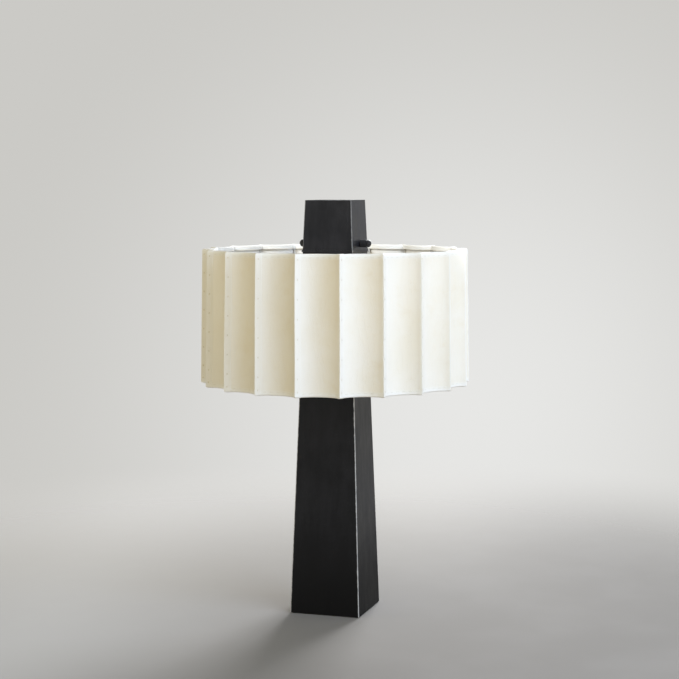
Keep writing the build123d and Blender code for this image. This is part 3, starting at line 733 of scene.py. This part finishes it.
def felt_points():
    """Rings of a flat pad: a square with rounded corners, drawn as a superellipse, whose size and
    height follow a rounded edge from the middle of the top to the middle of the bottom."""
    low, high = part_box("felt_pad")
    half, thick = high.x, high.z - low.z
    turn = np.linspace(0, 2 * math.pi, round_steps + 1)[:-1]
    sides = np.abs(np.cos(turn)) ** corner_power + np.abs(np.sin(turn)) ** corner_power
    square = sides ** (-1 / corner_power)
    edge = np.linspace(math.pi / 2, -math.pi / 2, edge_steps)
    swell = thick / 2 * (1 - np.cos(edge))
    flat = [0, 0.5 * half, 0.9 * half]
    size = np.concatenate([flat, half - swell, flat[::-1]])
    bulge = low.z + thick / 2 * (1 + np.sin(edge))
    level = np.concatenate([[high.z] * len(flat), bulge, [low.z] * len(flat)])
    radius = square[None, :] * size[:, None]
    x, y = radius * np.cos(turn), radius * np.sin(turn)
    return np.stack(np.broadcast_arrays(x, y, level[:, None]), -1)[None]


felt_grid = felt_points()
felt_quads = tube_quads(*felt_grid.shape[:3])[:, ::-1]
felt_skin, felt_faces, _ = weld(felt_grid, felt_quads)
felt = lay_mesh("felt_foot", felt_skin, felt_faces, "column", crease=50)
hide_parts("felt_pad")

# %% [markdown]
# Blackened steel is steel plate turned black in a salt or oil bath and then waxed. It is a soft
# black with grey clouds, and it wears bright along the edges. Near the floor its colour is painted
# deeper black, a painted shade, and it is duller there. The wear follows the plate's edges by plain
# geometry: on a square taper, an edge is where the smaller of x and y comes near the half width at
# that height.

# %% Blackened steel
def blackened_steel(name, foot_half, slope, black, grey, wear, specular):
    """Finish for a square taper whose half width is foot_half less slope times the height."""
    bench = Bench(name)
    axes = bench.add("ShaderNodeSeparateXYZ")
    bench.plug(axes.inputs[0], bench.place)
    across_face = bench.math(
        "MINIMUM", bench.math("ABSOLUTE", axes.outputs["X"]), bench.math("ABSOLUTE", axes.outputs["Y"])
    )
    half_width = bench.math("SUBTRACT", foot_half, bench.math("MULTIPLY", axes.outputs["Z"], slope))
    edge = bench.math("SUBTRACT", half_width, across_face)
    clouds = bench.noise(11.0, 5.0, 0.6, warp=0.4)
    streaks = bench.noise(60.0, 4.0, 0.6, bench.stretch((1.0, 1.0, 0.16)))
    grain = bench.noise(420.0, 3.0, 0.6)
    scuffs = bench.noise(95.0, 3.0, 0.65)
    reach = bench.math("ADD", edge, bench.math("MULTIPLY", scuffs, 0.0022))
    worn = bench.span(reach, 0.0014, 0.0030, wear, 0.0)
    tone = bench.math("ADD", bench.math("MULTIPLY", clouds, 0.6), bench.math("MULTIPLY", streaks, 0.4))
    colour = bench.blend(bench.span(tone, 0.36, 0.66), black, grey)
    # Painted shade: towards the floor the colour turns near-black.
    painted_shade_and_dullness = bench.span(axes.outputs["Z"], 0.02, 0.20, 0.85, 0.0)
    colour = bench.blend(painted_shade_and_dullness, colour, (0.001, 0.001, 0.0012))
    colour = bench.blend(bench.span(grain, 0.60, 0.78, 0.0, 0.18), colour, (0.055, 0.054, 0.053))
    colour = bench.blend(worn, colour, (0.68, 0.68, 0.68))
    bench.feed(color=colour, metallic=bench.math("MULTIPLY", worn, 0.5))
    rough = bench.span(tone, 0.34, 0.68, 0.34, 0.50)
    rough = bench.math("ADD", rough, bench.math("MULTIPLY", painted_shade_and_dullness, 0.30))
    bench.feed(roughness=bench.math("ADD", rough, bench.math("MULTIPLY", grain, 0.06)))
    bench.set(specular=specular)
    height = bench.math("ADD", bench.math("MULTIPLY", grain, 0.5), bench.math("MULTIPLY", streaks, 0.8))
    bench.relief(height, 0.00025)
    return bench.material


worn_black, worn_grey = (0.011, 0.0113, 0.0138), (0.028, 0.028, 0.0325)
hub_half = float(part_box("hub_ring")[1].x)
print("half width of the hub in mm:", round(hub_half * 1000, 1))

# %% [markdown]
# The column and the cap taper, so their half width at the floor and its loss with height are read
# off the CAD meshes. The cap and the hub have been handled, so their black is greyer than the
# column's, and fingers have rubbed the knobs, which keep no bright edge.

# %% Steel pieces
def taper_of(name):
    """Half width at height zero and its loss per metre, from a taper's lowest and highest points."""
    points = np.empty(len(nodes[name].data.vertices) * 3, np.float32)
    nodes[name].data.vertices.foreach_get("co", points)
    points = points.reshape(-1, 3)
    low, high = points[:, 2].min(), points[:, 2].max()
    foot = np.abs(points[points[:, 2] < low + 1e-5, 0]).max()
    head = np.abs(points[points[:, 2] > high - 1e-5, 0]).max()
    slope = (foot - head) / (high - low)
    return float(foot + slope * low), float(slope)


deep_black, soft_black = (0.0036, 0.0037, 0.0048), (0.0130, 0.0131, 0.0155)
column_taper, cap_taper = taper_of("column_shell"), taper_of("cap_shell")
column_steel = blackened_steel("column_steel", *column_taper, deep_black, soft_black, 0.9, 0.27)
cap_steel = blackened_steel("cap_steel", *cap_taper, worn_black, worn_grey, 0.32, 0.28)
hub_steel = blackened_steel("hub_steel", hub_half, 0.0, worn_black, worn_grey, 0.5, 0.28)
dress(column_steel, "column_shell", "column_top_plate")
dress(cap_steel, "cap_shell", "cap_top_plate")
dress(hub_steel, "hub_ring", "cap_post", "socket_bracket_left", "socket_bracket_right")
rubbed_black, rubbed_grey = (0.015, 0.015, 0.017), (0.034, 0.034, 0.036)
knob_steel = blackened_steel("knob_steel", hub_half, 0.0, rubbed_black, rubbed_grey, 0.0, 0.4)
dress(knob_steel, "thumbscrew_left", "thumbscrew_right")
print("half width of the column at the floor, and slope:", np.round(column_taper, 5).tolist())

# %% [markdown]
# The other metals differ only in their colour and how much they shine, so one function makes them:
# a metallic surface with fine brushing, faint stains and a roughness that follows both.

# %% Plain metals
along_z = (1.0, 1.0, 0.1)


def plain_metal(name, clean, stained, rough_low, rough_high, brushing=along_z):
    """Stains run from the clean tone to the stained one, and a noise stretched one way brushes it."""
    bench = Bench(name)
    brush = bench.noise(700.0, 3.0, 0.6, bench.stretch(brushing))
    stain = bench.noise(55.0, 4.0, 0.6, warp=0.5)
    colour = bench.blend(bench.span(stain, 0.42, 0.70), clean, stained)
    bench.feed(color=colour, metallic=bench.span(stain, 0.3, 0.9, 1.0, 0.85))
    rough = bench.span(stain, 0.3, 0.7, rough_low, rough_high)
    bench.feed(roughness=bench.math("ADD", rough, bench.math("MULTIPLY", brush, 0.08)))
    bench.relief(brush, 0.00012)
    return bench.material


along_y = (1.0, 0.1, 1.0)
mill_steel = plain_metal("mill_steel", (0.50, 0.50, 0.51), (0.33, 0.32, 0.31), 0.34, 0.52, along_y)
zinc_plate = plain_metal("zinc_plate", (0.66, 0.66, 0.65), (0.55, 0.54, 0.49), 0.24, 0.40)
socket_brass = plain_metal("socket_brass", (0.72, 0.52, 0.24), (0.55, 0.36, 0.15), 0.22, 0.40)
bulb_nickel = plain_metal("bulb_nickel", (0.74, 0.72, 0.69), (0.62, 0.60, 0.57), 0.18, 0.32)
dress(mill_steel, "base_plate", "base_lugs", "thumbscrew_bosses")
dress(zinc_plate, "base_screws", "ballast_washers", "ballast_bolts")
dress(zinc_plate, "terminal_screw", "bracket_screws", "bracket_nuts")
dress(socket_brass, "nipple_nuts")
for side in ("left", "right"):
    dress(socket_brass, *(f"socket_{piece}_{side}" for piece in ("cap", "shell", "nipple", "contacts")))
    dress(bulb_nickel, f"bulb_cap_{side}")
print("CAD nodes dressed so far:", len(dressed))

# %% [markdown]
# Moulded pieces come last: black lampholder parts, rubber bushes and leads, nylon pads, the white
# bulb body and its opal globe, the iron ballast and the felt. Each is a dull surface with a
# slight mottle and a fine relief, and the globe has a thin clear coat.

# %% Moulded and cast pieces
def moulded(name, first, second, scale, rough_low, rough_high, depth, **gloss):
    """A mottle runs from the first tone to the second, and a finer noise joins it in the relief."""
    bench = Bench(name)
    mottle = bench.noise(scale, 4.0, 0.6)
    fine = bench.noise(scale * 14, 2.0)
    bench.feed(color=bench.blend(bench.span(mottle, 0.3, 0.7), first, second))
    bench.feed(roughness=bench.span(mottle, 0.3, 0.7, rough_low, rough_high))
    bench.relief(bench.math("ADD", mottle, bench.math("MULTIPLY", fine, 0.5)), depth)
    bench.set(**gloss)
    return bench.material


black, grey = (0.020, 0.020, 0.021), (0.034, 0.033, 0.033)
holder_plastic = moulded("holder_plastic", black, grey, 70.0, 0.32, 0.46, 0.00010)
lead_rubber = moulded("lead_rubber", black, grey, 120.0, 0.55, 0.72, 0.00012)
foot_felt = moulded("foot_felt", grey, (0.060, 0.059, 0.060), 380.0, 0.85, 0.98, 0.0006, sheen=0.3)
cast_iron = moulded("cast_iron", (0.075, 0.074, 0.074), (0.13, 0.125, 0.12), 160.0, 0.55, 0.75, 0.0006)
pad_nylon = moulded("pad_nylon", (0.74, 0.73, 0.68), (0.66, 0.64, 0.58), 110.0, 0.38, 0.52, 0.00010)
bulb_plastic = moulded("bulb_plastic", (0.84, 0.84, 0.82), (0.80, 0.80, 0.78), 60.0, 0.30, 0.42, 0.00006)
wire_enamel = moulded("wire_enamel", (0.86, 0.855, 0.83), (0.80, 0.79, 0.75), 90.0, 0.30, 0.44, 0.00008)
opal_tones = (0.88, 0.88, 0.86), (0.85, 0.85, 0.83)
opal_globe = moulded("opal_globe", *opal_tones, 45.0, 0.24, 0.34, 0.00004, coat=0.15, coat_roughness=0.2)
felt.data.materials.append(foot_felt)
solder.data.materials.append(wire_enamel)
dress(wire_enamel, "top_ring", "bottom_ring", "rib_wires", "spider_arms")
dress(cast_iron, "ballast_block")
dress(lead_rubber, "cord_gland", "lead_grommets")
dress(holder_plastic, "terminal_block")
for side in ("left", "right"):
    dress(holder_plastic, f"socket_core_{side}", f"socket_key_{side}")
    dress(lead_rubber, f"socket_lead_{side}")
    dress(pad_nylon, f"thumbscrew_pad_{side}")
    dress(bulb_plastic, f"bulb_body_{side}")
    dress(opal_globe, f"bulb_globe_{side}")
print("CAD nodes with no finish, because a new piece stands for them:", sorted(set(nodes) - dressed))

# %% [markdown]
# The camera stands a little to the right of the lamp's front, just above the cap's height, and
# looks down by about five degrees. It comes first, because the floor's tone, the backdrop and the
# lights are laid out along its view: rightward and deep are the two floor directions that the
# picture shows as across and away.

# %% Camera
view_turn = math.radians(17.66)
view_tilt = math.radians(5.34)
rightward = np.array([math.cos(view_turn), math.sin(view_turn), 0.0])
deep = np.array([-math.sin(view_turn), math.cos(view_turn), 0.0])
upright = np.array([0.0, 0.0, 1.0])
camera_place = (0.8957, -2.7897, 0.7447)
sensor_mm, lens_mm = 36.0, 90.37
sight = 50.0

camera_data = bpy.data.cameras.new("camera")
camera_data.sensor_width = sensor_mm
camera_data.lens = lens_mm
camera_data.clip_end = sight
camera = bpy.data.objects.new("camera", camera_data)
bpy.context.scene.collection.objects.link(camera)
camera.location = camera_place
camera.rotation_euler = (math.radians(90) - view_tilt, 0, view_turn)
bpy.context.scene.camera = camera
bpy.context.scene.view_settings.view_transform = "Standard"
print("camera at", [round(value, 3) for value in camera.location])

# %% [markdown]
# The stage is a plain grey floor. It is matt near the lamp, where it takes the shadow, and fades
# away further out, so that no horizon shows. Its tone is painted light and shade: it runs from a
# paler left to a darker right. In the middle it is a little paler behind the lamp than in front,
# and at the right it is the other way round, which evens out what the lights do to it.

# %% Floor
floor_reach = 1.8
fade_start, fade_end = 0.50, 1.60


def pale_floor():
    """Tones of painted light and shade, blended across and along the view, and a matt surface that
    turns clear with distance.
    """
    bench = Bench("pale_floor")
    axes = bench.add("ShaderNodeSeparateXYZ")
    bench.plug(axes.inputs[0], bench.stretch((1.0, 1.0, 1.0), turn=(0, 0, -view_turn)))
    # Painted light and shade: these tones set how bright each part of the floor looks.
    away = bench.span(axes.outputs["Y"], -0.45, 0.75)
    left = (0.335, 0.33, 0.32)
    middle = bench.blend(away, (0.20, 0.19, 0.176), (0.25, 0.242, 0.228))
    right = bench.blend(away, (0.18, 0.172, 0.16), (0.142, 0.137, 0.129))
    grain = bench.noise(6.0, 3.0)
    colour = bench.blend(bench.span(axes.outputs["X"], -0.55, -0.02), left, middle)
    colour = bench.blend(bench.span(axes.outputs["X"], 0.10, 0.75), colour, right)
    colour = bench.blend(bench.math("MULTIPLY", grain, 0.05), colour, (0.45, 0.45, 0.45))
    bench.feed(color=colour, roughness=bench.span(grain, 0.3, 0.7, 0.75, 0.9))
    bench.set(specular=0.15)
    distance = bench.add("ShaderNodeVectorMath", operation="LENGTH")
    bench.plug(distance.inputs[0], bench.place)
    clear = bench.add("ShaderNodeBsdfTransparent")
    mix = bench.add("ShaderNodeMixShader")
    bench.plug(mix.inputs["Fac"], bench.span(distance.outputs["Value"], fade_start, fade_end))
    bench.plug(mix.inputs[1], bench.shader.outputs["BSDF"])
    bench.plug(mix.inputs[2], clear.outputs["BSDF"])
    bench.plug(bench.output.inputs["Surface"], mix.outputs["Shader"])
    return bench.material


floor_mesh = bpy.data.meshes.new("floor")
floor_corners = floor_reach * np.array([[-1, -1, 0], [1, -1, 0], [1, 1, 0], [-1, 1, 0]])
floor_mesh.from_pydata(floor_corners.tolist(), [], [[0, 1, 2, 3]])
floor = bpy.data.objects.new("floor", floor_mesh)
bpy.context.scene.collection.objects.link(floor)
floor_mesh.materials.append(pale_floor())
print("floor reach in metres:", floor_reach)

# %% [markdown]
# The world does two jobs. Rays from the camera, and mirrored or transmitted ones, see a quiet grey
# backdrop with a soft glow behind the lamp. All other rays meet a warm fill light, which is
# brightest from the front and the sides, as from pale walls, and dims overhead and behind. So the
# fill reaches the shade's front, where it is needed, and leaves the floor's shadow to the lights.

# %% World helpers
world = bpy.data.worlds.new("studio")
bpy.context.scene.world = world
world.use_nodes = True
sky = world.node_tree
sky.nodes.clear()


def sky_node(kind, *wires, **settings):
    """Node of the world whose first inputs take the wires, each a socket or a value."""
    node = sky.nodes.new(kind)
    for key, value in settings.items():
        setattr(node, key, value)
    for socket, wire in zip(node.inputs, wires):
        if isinstance(wire, bpy.types.NodeSocket):
            sky.links.new(wire, socket)
        else:
            socket.default_value = wire
    return node


def along(way):
    """Cosine of the angle between a ray and a direction."""
    way = (way / np.linalg.norm(way)).tolist()
    gaze = sky_node("ShaderNodeTexCoord").outputs["Generated"]
    return sky_node("ShaderNodeVectorMath", gaze, way, operation="DOT_PRODUCT").outputs["Value"]


def background(value, low, high, first, last, ease):
    """Background whose colour runs from first to last as the value goes from low to high."""
    share = sky_node("ShaderNodeMapRange", value, low, high, interpolation_type=ease)
    tone = sky_node("ShaderNodeMix", share.outputs["Result"], data_type="RGBA")
    tone.inputs["A"].default_value = (*first, 1.0)
    tone.inputs["B"].default_value = (*last, 1.0)
    return sky_node("ShaderNodeBackground", tone.outputs["Result"]).outputs[0]


print("world:", world.name)

# %% [markdown]
# The backdrop's glow is a round patch around a direction a little right of the view's middle and
# below it. The Light Path node tells the rays apart and chooses between the two backgrounds.

# %% World
glow_right, glow_down, glow_spread = 0.075, 0.035, 0.30
glow_tone, edge_tone = (0.80, 0.80, 0.785), (0.597, 0.59, 0.565)
view_way = deep * math.cos(view_tilt) - upright * math.sin(view_tilt)
glow_way = view_way + glow_right * rightward - glow_down * np.cross(rightward, view_way)
glow_angle = sky_node("ShaderNodeMath", along(glow_way), operation="ARCCOSINE").outputs[0]
backdrop = background(glow_angle, 0.0, glow_spread, glow_tone, edge_tone, "SMOOTHSTEP")

wall_tone, ceiling_tone = (0.79, 0.705, 0.49), (0.26, 0.235, 0.17)
dark_way = 0.8 * upright + 0.6 * deep
fill = background(along(dark_way), 0.0, 1.0, wall_tone, ceiling_tone, "LINEAR")

rays = sky_node("ShaderNodeLightPath").outputs
looked = sky_node(
    "ShaderNodeMath", rays["Is Camera Ray"], rays["Is Transmission Ray"], operation="MAXIMUM"
)
mirrored = sky_node("ShaderNodeMath", looked.outputs[0], rays["Is Glossy Ray"], operation="MAXIMUM")
chosen = sky_node("ShaderNodeMixShader", mirrored.outputs[0], fill, backdrop)
sky_node("ShaderNodeOutputWorld", chosen.outputs[0])
print("fill light from the walls:", wall_tone)

# %% [markdown]
# Soft boxes finish the light. The key is as large as a window and as cool as daylight. It stands
# half-way between the camera and the lamp's right side, so each flute is bright where it faces
# right and falls off to tan in the warm fill. The black steel would mirror it as a blue sheet, so
# mirrored rays pass it by and meet the grey backdrop. The second box stands behind the lamp, a
# little to the right, and throws the column's shadow forward to the left.

# %% Light
def soft_box(name, place, aim, size, watts, colour, in_mirrors):
    """Area light of a width and a height that faces a point, and that mirrors show or don't show."""
    data = bpy.data.lights.new(name, "AREA")
    data.shape = "RECTANGLE"
    data.size, data.size_y = size
    data.energy = watts
    data.color = colour
    box = bpy.data.objects.new(name, data)
    bpy.context.scene.collection.objects.link(box)
    box.visible_camera = False
    box.visible_glossy = in_mirrors
    box.location = place
    away = np.array(place) - np.array(aim)
    flat = math.hypot(away[0], away[1])
    box.rotation_euler = (math.atan2(flat, away[2]), 0, math.atan2(away[0], -away[1]))
    print(name, "at", np.round(place, 2).tolist(), "watts:", watts)
    return box


key_place = 1.65 * rightward - 1.60 * deep + 1.5 * upright
soft_box("key_box", key_place, (0, 0, 0.45), (2.6, 2.4), 70.0, (0.57, 0.72, 1.0), False)
back_place = 0.75 * rightward + 1.90 * deep + 1.65 * upright
soft_box("back_box", back_place, (0, 0, 0.1), (1.0, 0.6), 50.0, (0.90, 0.94, 1.0), True)

# %% [markdown]
# Two more boxes each reach only some objects, by light linking, which keeps a list of receivers
# on the light. One lights the floor from behind and deepens the column's shadow: as much light on
# everything would make the parchment glow. The other shines over the near rim into the shade, on
# the panels that turn their inside to it, so that the far rim shows white. The panels in front
# stay as the key lights them.

# %% Linked lights
far_place = 0.90 * rightward + 2.90 * deep + 1.75 * upright
floor_box = soft_box("floor_box", far_place, (0, 0, 0.1), (1.2, 0.75), 155.0, (0.95, 0.95, 1.0), False)
floor_only = bpy.data.collections.new("floor_only")
floor_only.objects.link(floor)
floor_box.light_linking.receiver_collection = floor_only

rim_place = -1.30 * rightward - 1.55 * deep + 1.90 * upright
rim_box = soft_box("rim_box", rim_place, (0, 0, 0.6), (1.2, 0.8), 46.0, (0.96, 0.98, 1.0), False)
lit_inside = bpy.data.collections.new("lit_inside")
for flute, panel in enumerate(panels):
    middle = shade_turn + flute_half * (2 * flute + 1)
    outward = np.array([math.cos(middle), math.sin(middle), 0.0])
    if outward @ rim_place < 0:
        lit_inside.objects.link(panel)
rim_box.light_linking.receiver_collection = lit_inside
